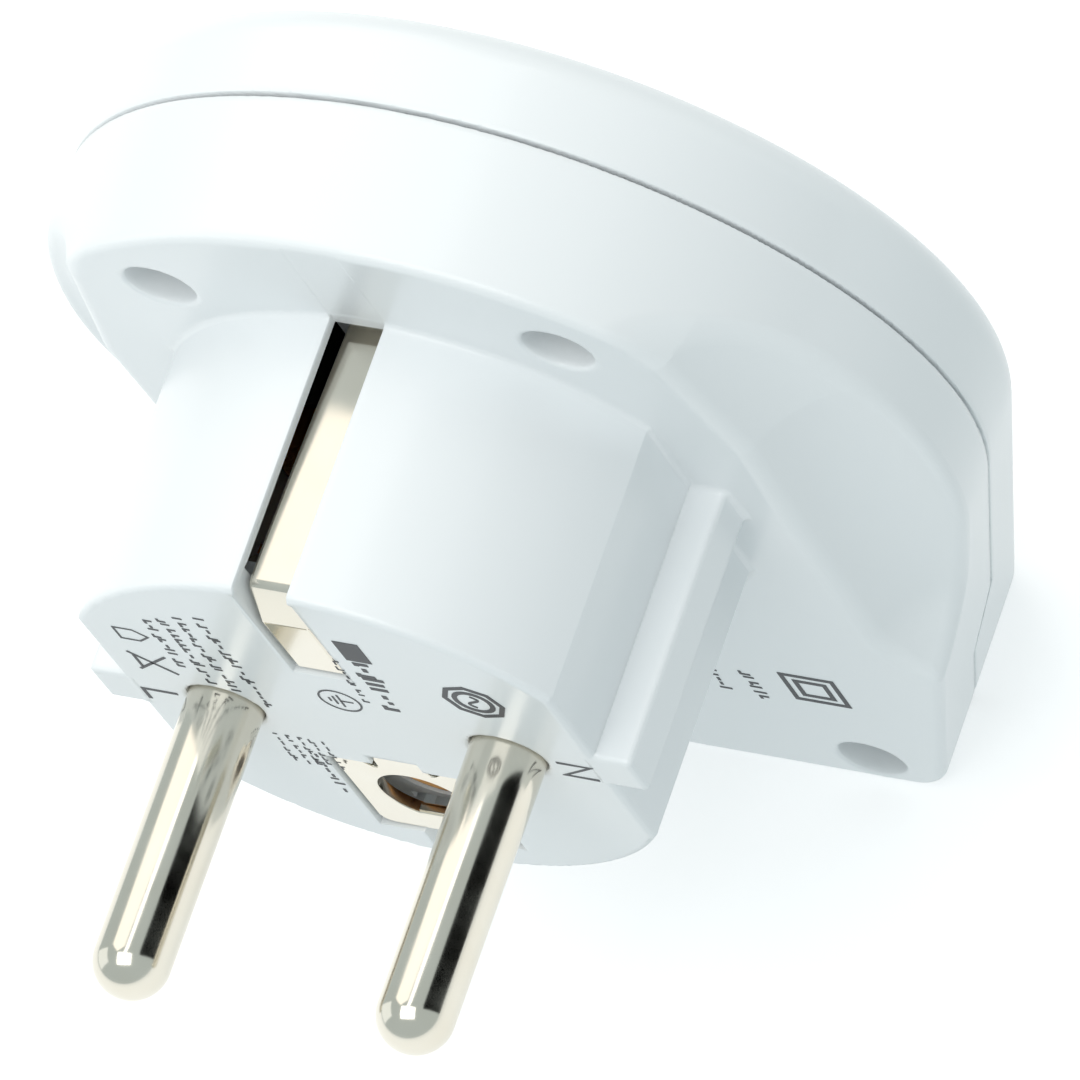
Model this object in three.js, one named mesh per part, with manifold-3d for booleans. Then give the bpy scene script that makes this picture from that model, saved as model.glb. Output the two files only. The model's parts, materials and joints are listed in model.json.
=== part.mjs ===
// Travel plug adapter: a universal three-pole socket and a USB charger in a rounded head, on a grounded
// round-pin plug. Millimetres. The origin is the centre of the plug's engagement face.
// +Y runs along the pins into the wall, +Z points to the upper earth clip, and the USB end faces -Z.
import * as THREE from "three";
import { mergeVertices } from "three/addons/utils/BufferGeometryUtils.js";
import Module from "manifold-3d";

const wasm = await Module();
wasm.setup();

// ---------------------------------------------------------------- driving dimensions
const WALL = 1.8; // thickness of the moulded shells
const GAP = 0.3; // clearance between neighbouring pieces

const PLUG = { radius: 18.4, edge: 0.5, wall: 2, flatX: 15.8, ribX: 18.2, ribZ: 1.85 };
const HEAD = { radius: 29.2, centreZ: -2, endZ: -40.2, taper: 18, corner: 2, rearY: -18.2, frontY: -34.6 };
HEAD.frontFillet = 2.5;
HEAD.rearFillet = 0.7;
const PARTING = { y: -28, endY: -24.5, stepTopZ: -29.2, stepEndZ: -32.2, lip: 1.5 };
const GRIP = { radius: 6.9, y: -16.5 };
// The grip's centre line, [x, z] from above the head to the round lower end.
GRIP.path = [[22.5, 27.5], [26.2, 20], [28.4, 8], [28.1, -4], [27.9, -17]];

const PIN = { x: 9.5, radius: 2.4, length: 19.4, tailRadius: 1.8, tailY: -9.3 };
PIN.flangeRadius = 3.4;
PIN.flangeY = -2.1;
// The earth clips' slots: a narrow opening in a thin skin, with a wider cavity and a narrow floor under it.
const SLOT = { half: 1.8, skin: 1.1, cavityHalf: 3.2, cavityEndY: -19.3, floorZ: 14, floorThick: 1.6 };
SLOT.faceHalf = 2.15;
SLOT.faceZ = 7.4;
SLOT.faceDepth = 2;
SLOT.backing = 1.8;
const STRIP = { half: 1.65, thick: 0.8, faceY: -0.2, bendZ: 13.6, tailY: -17, tailZ: 10.5, rearY: -18.9 };
// The outer surface of the upper clip as [y, z], from its rear end to its crest behind the bend.
STRIP.rise = [
  [STRIP.rearY, 16.3],
  [-14, 16.55],
  [-9, 16.8],
  [-5, 16.95],
  [-2.4, 17],
  [-1.5, 16.95],
  [-0.95, 16.5],
];
const BRIDGE = { half: 2, thick: 0.6, reachZ: 12, linkHalf: 1.5, linkY: -20, linkZ: 8 };
const WINDOW = { half: 5, topZ: -5.4, notchHalf: 1.7, notchZ: -4.3, lowZ: -15.2, rim: 1.6 };
const FRENCH = { z: -10, holeRadius: 3, sleeveRadius: 3.4, sleeveEndY: -14.4, clear: 0.15 };

const SOCKET = { z: -6, innerX: 5, outerX: 14.8, half: 2.3, bladeX: 6.35, bladeHalf: 1.1, bladeTall: 3.5 };
const EARTH_HOLE = { half: 2.5, lowZ: 3.3, highZ: 20.5 };
const DISH = { radius: 24, depth: 0.7 };
const CONTACT = { sheet: 0.6, frontY: -28.6, backY: -17.1, margin: 0.7, outerX: 13.4 };
CONTACT.tabHalf = 1;
CONTACT.tabY = -9.6;
const EARTH_CONTACT = { backY: -20.3, lowZ: 4, highZ: 20, clear: 0.4 };
const CARRIER = { rearY: -28.9, frontY: -30.4, sleeveY: -21, wall: 0.7, halfX: 17, lowZ: -11.3, highZ: 16 };
CARRIER.tongueHalf = 12;
CARRIER.tongueZ = 22;
const RETAINER = { halfX: 13.2, halfZ: 4.4, rearY: -3.8, frontY: -6.4 };

const SHUTTER = { halfX: 15.6, topZ: -2.1, lowZ: -9.9, rearY: -30.9, frontY: -32.5, thin: 0.4 };
SHUTTER.tailHalf = 1.6;
SHUTTER.tailZ = -12;
const GUIDE = { clear: 0.4, thick: 0.8, lowZ: -18.5, highZ: -1, rearY: -31 };
const SPRING_STOP = { half: 2, rearY: -29.6, clear: 0.2, thick: 1 };
const SPRING = { y: -31.2, radius: 1.15, wire: 0.45, topZ: -12.3, endZ: -25.2, turns: 8 };

const BOARD = { frontY: -26.2, rearY: -25, topZ: -13.6, shoulderZ: -33.8, endZ: -38.3 };
BOARD.half = 20;
BOARD.endHalf = 8.5;
const USB = { halfX: 6.65, halfY: 2.95, y: -29.4, mouthZ: -39.8, backZ: -26.9, sheet: 0.4, clear: 0.25 };
const SCREWS = [
  { name: "upper_left", x: 13.2, z: 18.5, partingY: PARTING.y },
  { name: "upper_right", x: -13.2, z: 18.5, partingY: PARTING.y },
  { name: "lower_left", x: 14.3, z: -37.2, partingY: PARTING.endY },
  { name: "lower_right", x: -14.3, z: -37.2, partingY: PARTING.endY },
];
const SCREW = { bore: 2.25, seatY: -22.2, boss: 3.3, head: 2, headTall: 1.5, shank: 1.2 };
SCREW.through = 1.5;
SCREW.pilot = 1.25;
SCREW.tipY = -31.2;
SCREW.post = 2.6;
const FAR = 60; // past the object on every side

// ---------------------------------------------------------------- materials
const plastic = (color, roughness) => new THREE.MeshStandardMaterial({ color, roughness, metalness: 0 });
const metal = (color, roughness) => new THREE.MeshStandardMaterial({ color, roughness, metalness: 1 });
const MATERIAL = {
  shell: plastic(0xf4f6f8, 0.32),
  shutter: plastic(0xe6e8ea, 0.4),
  carrier: plastic(0x2c2e31, 0.5),
  retainer: plastic(0xd9d4c6, 0.5),
  barrier: plastic(0xe9e2c8, 0.6),
  nickel: metal(0xd8d2c4, 0.12),
  bronze: metal(0xb8763a, 0.3),
  steel: metal(0xb4b6b8, 0.3),
  board: plastic(0x1d5a36, 0.45),
  black: plastic(0x18191b, 0.45),
  ferrite: plastic(0x3a3a3d, 0.7),
  tape: plastic(0xd8b13a, 0.4),
  sleeve: plastic(0x23324e, 0.35),
  ceramic: plastic(0x2f6fb0, 0.5),
  resistor: plastic(0x7fa38a, 0.5),
  brownLead: plastic(0x6a3a1c, 0.4),
  blueLead: plastic(0x1f4fa0, 0.4),
};

// ---------------------------------------------------------------- solids
// A closed geometry as a solid that can be cut and joined.
function solid(geometry) {
  const bare = geometry.index ? geometry.toNonIndexed() : geometry.clone();
  for (const name of Object.keys(bare.attributes)) {
    if (name !== "position") bare.deleteAttribute(name);
  }
  const merged = mergeVertices(bare, 1e-4);
  return new wasm.Manifold(
    new wasm.Mesh({
      numProp: 3,
      vertProperties: merged.attributes.position.array,
      triVerts: new Uint32Array(merged.index.array),
    }),
  );
}

function box(x0, x1, y0, y1, z0, z1) {
  const g = new THREE.BoxGeometry(x1 - x0, y1 - y0, z1 - z0);
  return solid(g.translate((x0 + x1) / 2, (y0 + y1) / 2, (z0 + z1) / 2));
}

function rodY(x, z, radius, y0, y1, sides = 32) {
  const g = new THREE.CylinderGeometry(radius, radius, y1 - y0, sides);
  return solid(g.translate(x, (y0 + y1) / 2, z));
}

function rodX(y, z, radius, x0, x1, sides = 20) {
  const g = new THREE.CylinderGeometry(radius, radius, x1 - x0, sides).rotateZ(Math.PI / 2);
  return solid(g.translate((x0 + x1) / 2, y, z));
}

function rodZ(x, y, radius, z0, z1, sides = 20) {
  const g = new THREE.CylinderGeometry(radius, radius, z1 - z0, sides).rotateX(Math.PI / 2);
  return solid(g.translate(x, y, (z0 + z1) / 2));
}

// A rod with round ends between two points.
function capsule(from, to, radius) {
  const span = new THREE.Vector3().subVectors(to, from);
  const g = new THREE.CapsuleGeometry(radius, span.length(), 10, 28);
  const upright = new THREE.Vector3(0, 1, 0);
  g.applyQuaternion(new THREE.Quaternion().setFromUnitVectors(upright, span.normalize()));
  const middle = new THREE.Vector3().addVectors(from, to).multiplyScalar(0.5);
  return solid(g.translate(middle.x, middle.y, middle.z));
}

// An outline of [x, z] points, drawn out from y0 to y1.
function prismY(points, y0, y1) {
  const shape = new THREE.Shape(points.map(([x, z]) => new THREE.Vector2(x, z)));
  const g = new THREE.ExtrudeGeometry(shape, { depth: y1 - y0, bevelEnabled: false });
  return solid(g.rotateX(Math.PI / 2).translate(0, y1, 0));
}

// An outline of [y, z] points, drawn out from x0 to x1.
function prismX(points, x0, x1) {
  const shape = new THREE.Shape(points.map(([y, z]) => new THREE.Vector2(y, z)));
  const g = new THREE.ExtrudeGeometry(shape, { depth: x1 - x0, bevelEnabled: false });
  return solid(g.rotateX(Math.PI / 2).rotateZ(Math.PI / 2).translate(x0, 0, 0));
}

// A profile of [radius, y] points turned about an axis along Y.
function turned(x, z, profile, sides = 32) {
  const points = profile.map(([r, y]) => new THREE.Vector2(r, y));
  return solid(new THREE.LatheGeometry(points, sides).translate(x, 0, z));
}

// A round wire swept along a smooth curve through [x, y, z] points.
function wire(points, radius, steps, sides = 8) {
  const curve = new THREE.CatmullRomCurve3(points.map((p) => new THREE.Vector3(...p)));
  const section = new THREE.Shape();
  for (let i = 0; i < sides; i++) {
    const a = (2 * Math.PI * i) / sides;
    section[i ? "lineTo" : "moveTo"](radius * Math.cos(a), radius * Math.sin(a));
  }
  return solid(new THREE.ExtrudeGeometry(section, { extrudePath: curve, steps, bevelEnabled: false }));
}

const union = (...parts) => parts.reduce((whole, part) => whole.add(part));
const cut = (whole, ...tools) => tools.reduce((rest, tool) => rest.subtract(tool), whole);
const mirrorX = (make) => union(make(1), make(-1));

// ---------------------------------------------------------------- outlines
// The head's outline, moved inwards by an offset: a round top, sides tapering to a flat end, round corners.
function headOutline(offset) {
  const slope = (HEAD.taper * Math.PI) / 180;
  const r = HEAD.radius - offset;
  const end = HEAD.endZ + offset;
  const corner = Math.max(HEAD.corner - offset, 0.25);
  const tangent = [r * Math.cos(slope), HEAD.centreZ - r * Math.sin(slope)];
  const cornerZ = end + corner;
  const sideX = tangent[0] - (tangent[1] - cornerZ) * Math.tan(slope);
  const cornerX = sideX - corner * (1 / Math.cos(slope));
  const points = [];
  const arc = (cx, cz, radius, from, to, steps) => {
    for (let i = 0; i <= steps; i++) {
      const a = from + ((to - from) * i) / steps;
      points.push([cx + radius * Math.cos(a), cz + radius * Math.sin(a)]);
    }
  };
  arc(0, HEAD.centreZ, r, -slope, Math.PI + slope, 54);
  arc(-cornerX, cornerZ, corner, Math.PI + slope, 1.5 * Math.PI, 4);
  arc(cornerX, cornerZ, corner, -0.5 * Math.PI, -slope, 4);
  return points;
}

// A solid through closed [x, z] outlines of equal point counts, each at its own y, in rising order of y.
function stack(levels) {
  const count = levels[0].points.length;
  const positions = [];
  const index = [];
  for (const { points, y } of levels) points.forEach(([x, z]) => positions.push(x, y, z));
  levels.slice(1).forEach((_, level) => {
    for (let i = 0; i < count; i++) {
      const a = level * count + i;
      const b = level * count + ((i + 1) % count);
      index.push(a, a + count, b, b, a + count, b + count);
    }
  });
  const last = (levels.length - 1) * count;
  const faces = THREE.ShapeUtils.triangulateShape(
    levels[0].points.map(([x, z]) => new THREE.Vector2(x, z)),
    [],
  );
  for (const [a, b, c] of faces) index.push(a, b, c, last + a, last + c, last + b);
  const g = new THREE.BufferGeometry();
  g.setAttribute("position", new THREE.Float32BufferAttribute(positions, 3));
  g.setIndex(index);
  return solid(g);
}

// The head with its rounded front edge and lightly rounded rear edge.
function headBlock() {
  const levels = [];
  const frontSteps = 4;
  for (let i = 0; i <= frontSteps; i++) {
    const a = (Math.PI / 2) * (i / frontSteps);
    const inset = HEAD.frontFillet * (1 - Math.sin(a));
    levels.push({ points: headOutline(inset), y: HEAD.frontY + HEAD.frontFillet * (1 - Math.cos(a)) });
  }
  const rearSteps = 2;
  for (let i = 0; i <= rearSteps; i++) {
    const a = (Math.PI / 2) * (i / rearSteps);
    const inset = HEAD.rearFillet * (1 - Math.cos(a));
    levels.push({ points: headOutline(inset), y: HEAD.rearY - HEAD.rearFillet * (1 - Math.sin(a)) });
  }
  return stack(levels);
}

// The side of the stepped parting line that faces the front, grown by a margin towards the rear.
function frontHalf(margin) {
  return prismX(
    [
      [-FAR, FAR],
      [-FAR, -FAR],
      [PARTING.endY + margin, -FAR],
      [PARTING.endY + margin, PARTING.stepEndZ],
      [PARTING.y + margin, PARTING.stepTopZ],
      [PARTING.y + margin, FAR],
    ],
    -FAR,
    FAR,
  );
}

// A finger grip on one side: a cove along the wall that runs out over the head's shoulder.
function gripTool(side, grow) {
  const knots = GRIP.path.map(([x, z]) => new THREE.Vector3(x * side, GRIP.y, z));
  return union(...knots.slice(1).map((knot, i) => capsule(knots[i], knot, GRIP.radius + grow)));
}

// ---------------------------------------------------------------- shells
// A box given by its side of the YZ plane: side 1 or -1, and distances from that plane.
function sideBox(side, near, far, y0, y1, z0, z1) {
  return box(Math.min(side * near, side * far), Math.max(side * near, side * far), y0, y1, z0, z1);
}

// The round plug with a flat and a rib on each side.
function plugBody() {
  const e = PLUG.edge;
  const r = PLUG.radius;
  const rootY = HEAD.rearY - 1;
  const body = turned(0, 0, [
    [0, rootY],
    [r, rootY],
    [r, -e],
    [r - 0.3 * e, -0.3 * e],
    [r - e, 0],
    [0, 0],
  ], 72);
  const flats = mirrorX((s) => sideBox(s, PLUG.flatX, r + 1, HEAD.rearY, 1, -r, r));
  const ribs = mirrorX((s) => sideBox(s, PLUG.flatX - 1, PLUG.ribX, rootY, 0, -PLUG.ribZ, PLUG.ribZ));
  return union(cut(body, flats), ribs);
}

// The hollow of the plug: round, narrower behind the side flats, open to the clips' cavities.
function plugHollow() {
  const inner = PLUG.radius - PLUG.wall;
  const endY = HEAD.rearY - WALL - GAP;
  const hollow = rodY(0, 0, inner, endY + 0.1, -WALL, 64);
  const flatWalls = mirrorX((s) => sideBox(s, PLUG.flatX - WALL, inner + 1, -FAR, 0, -inner, inner));
  const floorLowZ = SLOT.floorZ - SLOT.floorThick;
  const backY = -SLOT.faceDepth - SLOT.backing;
  const faceHalf = SLOT.faceHalf + SLOT.backing;
  const plateHalf = WINDOW.half + WINDOW.rim;
  const kept = union(
    box(-SLOT.half, SLOT.half, endY, 0, floorLowZ, SLOT.floorZ),
    box(-SLOT.half, SLOT.half, endY, 0, -SLOT.floorZ, -floorLowZ),
    box(-SLOT.cavityHalf, SLOT.cavityHalf, endY, SLOT.cavityEndY, floorLowZ, inner + 1),
    box(-SLOT.cavityHalf, SLOT.cavityHalf, endY, SLOT.cavityEndY, -inner - 1, -floorLowZ),
    box(-faceHalf, faceHalf, backY, 0, SLOT.faceZ - SLOT.backing, SLOT.floorZ),
    box(-plateHalf, plateHalf, backY, 0, -SLOT.floorZ - 1, WINDOW.notchZ + 1.2),
  );
  return cut(hollow, flatWalls, kept);
}

// The slot, the cavity under it and the notch in the plug face for one side earth clip.
function clipSlot(sign, notchZ) {
  const skinZ = PLUG.radius - SLOT.skin;
  const span = (half, y0, y1, z0, z1) => {
    const [low, high] = sign > 0 ? [z0, z1] : [-z1, -z0];
    return box(-half, half, y0, y1, low, high);
  };
  const tailLowY = STRIP.tailY - GAP;
  const tailHighY = STRIP.tailY + STRIP.thick + GAP;
  return union(
    span(SLOT.half, HEAD.rearY, 1, SLOT.floorZ, PLUG.radius + 1),
    span(SLOT.cavityHalf, SLOT.cavityEndY, -SLOT.faceDepth, SLOT.floorZ, skinZ),
    span(SLOT.faceHalf, -SLOT.faceDepth, 1, notchZ, skinZ),
    span(SLOT.half + 1, tailLowY, tailHighY, STRIP.tailZ, SLOT.floorZ + 1),
  );
}

// Both clips' slots, the window in the plug face for the lower one and the hole for an earth pin.
function earthCuts() {
  const deep = -SLOT.faceDepth;
  return union(
    clipSlot(1, SLOT.faceZ),
    clipSlot(-1, SLOT.floorZ),
    box(-WINDOW.half, WINDOW.half, deep, 1, WINDOW.lowZ, WINDOW.topZ),
    box(-WINDOW.notchHalf, WINDOW.notchHalf, deep, 1, WINDOW.topZ - 1, WINDOW.notchZ),
    rodY(0, FRENCH.z, FRENCH.sleeveRadius + FRENCH.clear, FRENCH.sleeveEndY - GAP, deep + 1),
  );
}

const screwRods = (radius, fromY, toY, sides) =>
  SCREWS.map(({ x, z, partingY }) => rodY(x, z, radius, fromY(partingY), toY(partingY), sides));

function rearHousing() {
  const head = headBlock().subtract(frontHalf(GAP / 2));
  const outside = cut(union(head, plugBody()), gripTool(1, 0), gripTool(-1, 0));
  const inner = stack([
    { points: headOutline(WALL), y: -FAR },
    { points: headOutline(WALL), y: HEAD.rearY - WALL },
  ]);
  const chamber = cut(inner, gripTool(1, WALL), gripTool(-1, WALL));
  const rebateInset = WALL / 2 - 0.1;
  const rebate = stack([
    { points: headOutline(rebateInset), y: -FAR },
    { points: headOutline(rebateInset), y: PARTING.endY + 2 * PARTING.lip },
  ]).intersect(frontHalf(PARTING.lip + 2 * GAP));
  const bosses = union(...screwRods(SCREW.boss, (y) => y + GAP / 2, () => HEAD.rearY - 1, 24));
  const bossesInside = bosses.intersect(headBlock()).subtract(union(gripTool(1, 0), gripTool(-1, 0)));
  const hollow = union(chamber, plugHollow());
  const shell = union(cut(outside, hollow, rebate.subtract(bossesInside)), bossesInside);
  const bores = screwRods(SCREW.bore, () => SCREW.seatY, () => HEAD.rearY + 1, 24);
  const shanks = screwRods(SCREW.through, () => -FAR, () => SCREW.seatY + 1, 16);
  const pins = mirrorX((s) => rodY(s * PIN.x, 0, PIN.radius + 0.1, RETAINER.rearY - 1, 1));
  return cut(shell, earthCuts(), pins, ...bores, ...shanks);
}

// The three openings for a foreign plug, as one tool that passes through from y0 to y1.
function socketApertures(y0, y1) {
  const s = SOCKET;
  const poles = mirrorX((side) => {
    const blade = side * s.bladeX;
    return union(
      sideBox(side, s.innerX, s.outerX, y0, y1, s.z - s.half, s.z + s.half),
      box(blade - s.bladeHalf, blade + s.bladeHalf, y0, y1, s.z - s.bladeTall, s.z + s.bladeTall),
    );
  });
  return union(poles, box(-EARTH_HOLE.half, EARTH_HOLE.half, y0, y1, EARTH_HOLE.lowZ, EARTH_HOLE.highZ));
}

function usbAperture() {
  const x = USB.halfX + USB.clear;
  const y = USB.halfY + USB.clear;
  return box(-x, x, USB.y - y, USB.y + y, HEAD.endZ - 1, HEAD.endZ + WALL + 1);
}

function frontCover() {
  const head = headBlock().intersect(frontHalf(-GAP / 2));
  const floorY = HEAD.frontY + WALL;
  const rootY = floorY - 0.5;
  const hollow = stack([
    { points: headOutline(WALL), y: floorY },
    { points: headOutline(WALL), y: FAR },
  ]);
  const lipInset = WALL / 2 + 0.1;
  const lip = stack([
    { points: headOutline(lipInset), y: rootY },
    { points: headOutline(lipInset), y: PARTING.endY + 2 * PARTING.lip },
  ]).intersect(frontHalf(PARTING.lip));
  const posts = screwRods(SCREW.post, () => rootY, (y) => y - GAP / 2, 24);
  const guideX = SHUTTER.halfX + GUIDE.clear;
  const guides = mirrorX((s) => {
    return sideBox(s, guideX, guideX + GUIDE.thick, rootY, GUIDE.rearY, GUIDE.lowZ, GUIDE.highZ);
  });
  const { half, rearY, clear, thick } = SPRING_STOP;
  const stopZ = SPRING.endZ - clear;
  const stop = box(-half, half, rootY, rearY, stopZ - thick, stopZ);
  const lipCuts = screwRods(SCREW.boss + GAP, (y) => y - GAP / 2, (y) => y + 5, 24);
  const shell = union(cut(head, hollow), cut(lip, hollow, ...lipCuts));
  const made = union(shell, ...posts, guides, stop);
  const pilots = screwRods(SCREW.pilot, () => SCREW.tipY - 0.4, () => FAR, 16);
  const dish = rodY(0, 0, DISH.radius, HEAD.frontY - 1, HEAD.frontY + DISH.depth, 64);
  return cut(made, ...pilots, dish, socketApertures(HEAD.frontY - 1, floorY + 1), usbAperture());
}

// ---------------------------------------------------------------- plug contacts
function pin(side) {
  const tip = [];
  const steps = 6;
  for (let i = 0; i <= steps; i++) {
    const a = (Math.PI / 2) * (1 - i / steps);
    tip.push([PIN.radius * Math.sin(a), PIN.length - PIN.radius + PIN.radius * Math.cos(a)]);
  }
  return turned(side * PIN.x, 0, [
    [0, PIN.tailY],
    [PIN.tailRadius, PIN.tailY],
    [PIN.tailRadius, PIN.flangeY - 1.3],
    [PIN.flangeRadius, PIN.flangeY - 1.3],
    [PIN.flangeRadius, PIN.flangeY],
    [PIN.radius, PIN.flangeY],
    ...tip,
  ]);
}

function pinRetainer() {
  const { halfX, halfZ, rearY, frontY } = RETAINER;
  const plate = box(-halfX, halfX, frontY, rearY, -halfZ, halfZ);
  return cut(plate, mirrorX((s) => rodY(s * PIN.x, 0, PIN.tailRadius + 0.2, frontY - 1, rearY + 1)));
}

// A side earth clip: it rises along its slot, slants over the plug's edge and lies flat in the face.
// A hook at its rear reaches into the plug.
function earthClip(sign, faceEndZ) {
  const t = STRIP.thick;
  const tailFrontY = STRIP.tailY + t;
  const underZ = STRIP.rise[0][1] - t;
  const under = STRIP.rise.filter(([y]) => y > tailFrontY && y < -2).map(([y, z]) => [y, z - t]).reverse();
  const outline = [
    ...STRIP.rise,
    [STRIP.faceY, STRIP.bendZ],
    [STRIP.faceY, Math.abs(faceEndZ)],
    [STRIP.faceY - t, Math.abs(faceEndZ)],
    [STRIP.faceY - t, STRIP.bendZ - 0.1],
    ...under,
    [tailFrontY, underZ],
    [tailFrontY, STRIP.tailZ],
    [STRIP.tailY, STRIP.tailZ],
    [STRIP.tailY, underZ],
    [STRIP.rearY, underZ],
  ].map(([y, z]) => [y, sign * z]);
  return prismX(outline, -STRIP.half, STRIP.half);
}

const upperEarthClip = () => earthClip(1, SLOT.faceZ + GAP);

function lowerEarthClip() {
  const plateHalf = WINDOW.half - GAP;
  const tabHalf = WINDOW.notchHalf - GAP;
  const y0 = STRIP.faceY - STRIP.thick;
  const plate = union(
    box(-plateHalf, plateHalf, y0, STRIP.faceY, WINDOW.lowZ + GAP, WINDOW.topZ - GAP),
    box(-tabHalf, tabHalf, y0, STRIP.faceY, FRENCH.z, WINDOW.notchZ - GAP),
  );
  const clip = earthClip(-1, STRIP.bendZ - 1);
  return cut(union(plate, clip), rodY(0, FRENCH.z, FRENCH.holeRadius, -SLOT.faceDepth - 1, 1));
}

function frenchSleeve() {
  const outer = rodY(0, FRENCH.z, FRENCH.sleeveRadius, FRENCH.sleeveEndY, -SLOT.faceDepth - 0.1);
  return cut(outer, rodY(0, FRENCH.z, FRENCH.holeRadius, FRENCH.sleeveEndY - 1, 1));
}

// The bar that joins both earth clips and reaches to the socket's earth contact.
function earthBridge() {
  const b = BRIDGE;
  const backY = STRIP.tailY + STRIP.thick + GAP;
  return union(
    box(-b.half, b.half, backY, backY + b.thick, -b.reachZ, b.reachZ),
    box(-b.linkHalf, b.linkHalf, b.linkY, backY + b.thick / 2, b.linkZ, b.linkZ + b.thick),
  );
}

// ---------------------------------------------------------------- socket
// A sprung clip of two leaves and a back web round one pole's chamber, with a tab to the pin's tail.
function poleContact(side) {
  const t = CONTACT.sheet;
  const leafZ = SOCKET.half + CONTACT.margin;
  const top = SOCKET.z + leafZ;
  const low = SOCKET.z - leafZ;
  const { tabHalf } = CONTACT;
  const web = (y0, y1, z0, z1) => sideBox(side, SOCKET.innerX + GAP, CONTACT.outerX, y0, y1, z0, z1);
  const tab = (y0, y1, z0, z1) => sideBox(side, PIN.x - tabHalf, PIN.x + tabHalf, y0, y1, z0, z1);
  return union(
    web(CONTACT.frontY, CONTACT.backY, top - t, top),
    web(CONTACT.frontY, CONTACT.backY, low, low + t),
    web(CONTACT.backY - t, CONTACT.backY, low, top),
    tab(CONTACT.backY - t, CONTACT.tabY, top - t, top),
    tab(CONTACT.tabY - t, CONTACT.tabY, top - t, 1),
  );
}

function earthContact() {
  const t = CONTACT.sheet;
  const { backY, lowZ, highZ, clear } = EARTH_CONTACT;
  const x = EARTH_HOLE.half + clear;
  return union(
    mirrorX((s) => sideBox(s, x, x + t, CONTACT.frontY, backY, lowZ, highZ)),
    box(-x - t, x + t, backY - t, backY, lowZ, highZ),
  );
}

// The insulating block behind the cover that holds the three socket contacts in their chambers.
function contactCarrier() {
  const c = CARRIER;
  const pocketZ = SOCKET.half + CONTACT.margin + GAP;
  const sleeveZ = pocketZ + c.wall;
  const { z, innerX, outerX } = SOCKET;
  const sleeve = (s) => sideBox(s, innerX - 0.9, outerX + 1, c.frontY, c.sleeveY, z - sleeveZ, z + sleeveZ);
  const pocket = (s) => sideBox(s, innerX, outerX + 0.2, c.rearY - 0.05, 0, z - pocketZ, z + pocketZ);
  const block = union(
    box(-c.halfX, c.halfX, c.frontY, c.rearY, c.lowZ, c.highZ),
    box(-c.tongueHalf, c.tongueHalf, c.frontY, c.rearY, c.highZ - 1, c.tongueZ),
    mirrorX(sleeve),
  );
  const earthX = EARTH_HOLE.half + 0.8;
  const past = [c.frontY - 1, c.rearY + 1];
  const earthPocket = box(-earthX, earthX, ...past, EARTH_HOLE.lowZ - 0.6, EARTH_HOLE.highZ + 0.6);
  const notches = mirrorX((s) => rodY(s * SCREWS[0].x, SCREWS[0].z, SCREW.boss + GAP, ...past, 24));
  return cut(block, mirrorX(pocket), socketApertures(...past), earthPocket, notches);
}

// ---------------------------------------------------------------- safety shutter
// One sliding plate: each wing's sloping front is pushed down and away by the pins of an inserted plug.
function socketShutter() {
  const s = SHUTTER;
  const plate = prismX(
    [
      [s.rearY, s.topZ],
      [s.rearY - s.thin, s.topZ],
      [s.frontY, s.lowZ],
      [s.rearY, s.lowZ],
    ],
    -s.halfX,
    s.halfX,
  );
  return union(plate, box(-s.tailHalf, s.tailHalf, s.frontY + 0.2, s.rearY, s.tailZ, s.lowZ + 1));
}

function shutterSpring() {
  const s = SPRING;
  const points = [];
  const perTurn = 8;
  for (let i = 0; i <= s.turns * perTurn; i++) {
    const a = (2 * Math.PI * i) / perTurn;
    const z = s.topZ - s.wire / 2 - ((s.topZ - s.endZ - s.wire) * i) / (s.turns * perTurn);
    points.push([s.radius * Math.cos(a), s.y + s.radius * Math.sin(a), z]);
  }
  return wire(points, s.wire / 2, s.turns * perTurn, 6);
}

// ---------------------------------------------------------------- USB charger
function usbBoard() {
  const b = BOARD;
  const half = [
    [b.endHalf, b.endZ],
    [b.endHalf, b.shoulderZ],
    [b.half - 2.6, b.shoulderZ],
    [b.half, b.topZ - 12],
    [b.half, b.topZ],
  ];
  const mirrored = half.map(([x, z]) => [-x, z]).reverse();
  return prismY([...half, ...mirrored], b.frontY, b.rearY);
}

function usbShell() {
  const u = USB;
  const t = u.sheet;
  const outer = box(-u.halfX, u.halfX, u.y - u.halfY, u.y + u.halfY, u.mouthZ, u.backZ);
  const innerX = u.halfX - t;
  const innerY = u.halfY - t;
  const inner = box(-innerX, innerX, u.y - innerY, u.y + innerY, u.mouthZ - 1, u.backZ - t);
  return cut(outer, inner);
}

// The tongue on the board side of the port, with the block at its root.
function usbTongue() {
  const t = { bladeHalf: 5.4, rootHalf: 5.9, rearY: -27.3, bladeY: -29.2, rootY: -31.5 };
  return union(
    box(-t.bladeHalf, t.bladeHalf, t.bladeY, t.rearY, USB.mouthZ + 0.9, USB.backZ - 1),
    box(-t.rootHalf, t.rootHalf, t.rootY, t.rearY, USB.backZ - 2.6, USB.backZ - 0.7),
  );
}

const TRANSFORMER = { x: -13.2, halfX: 5.2, y: -29.4, halfY: 2, z: -26, halfZ: 5.4 };
TRANSFORMER.leg = 1.2;
TRANSFORMER.yoke = 1.5;
TRANSFORMER.side = 1.3;

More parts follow.
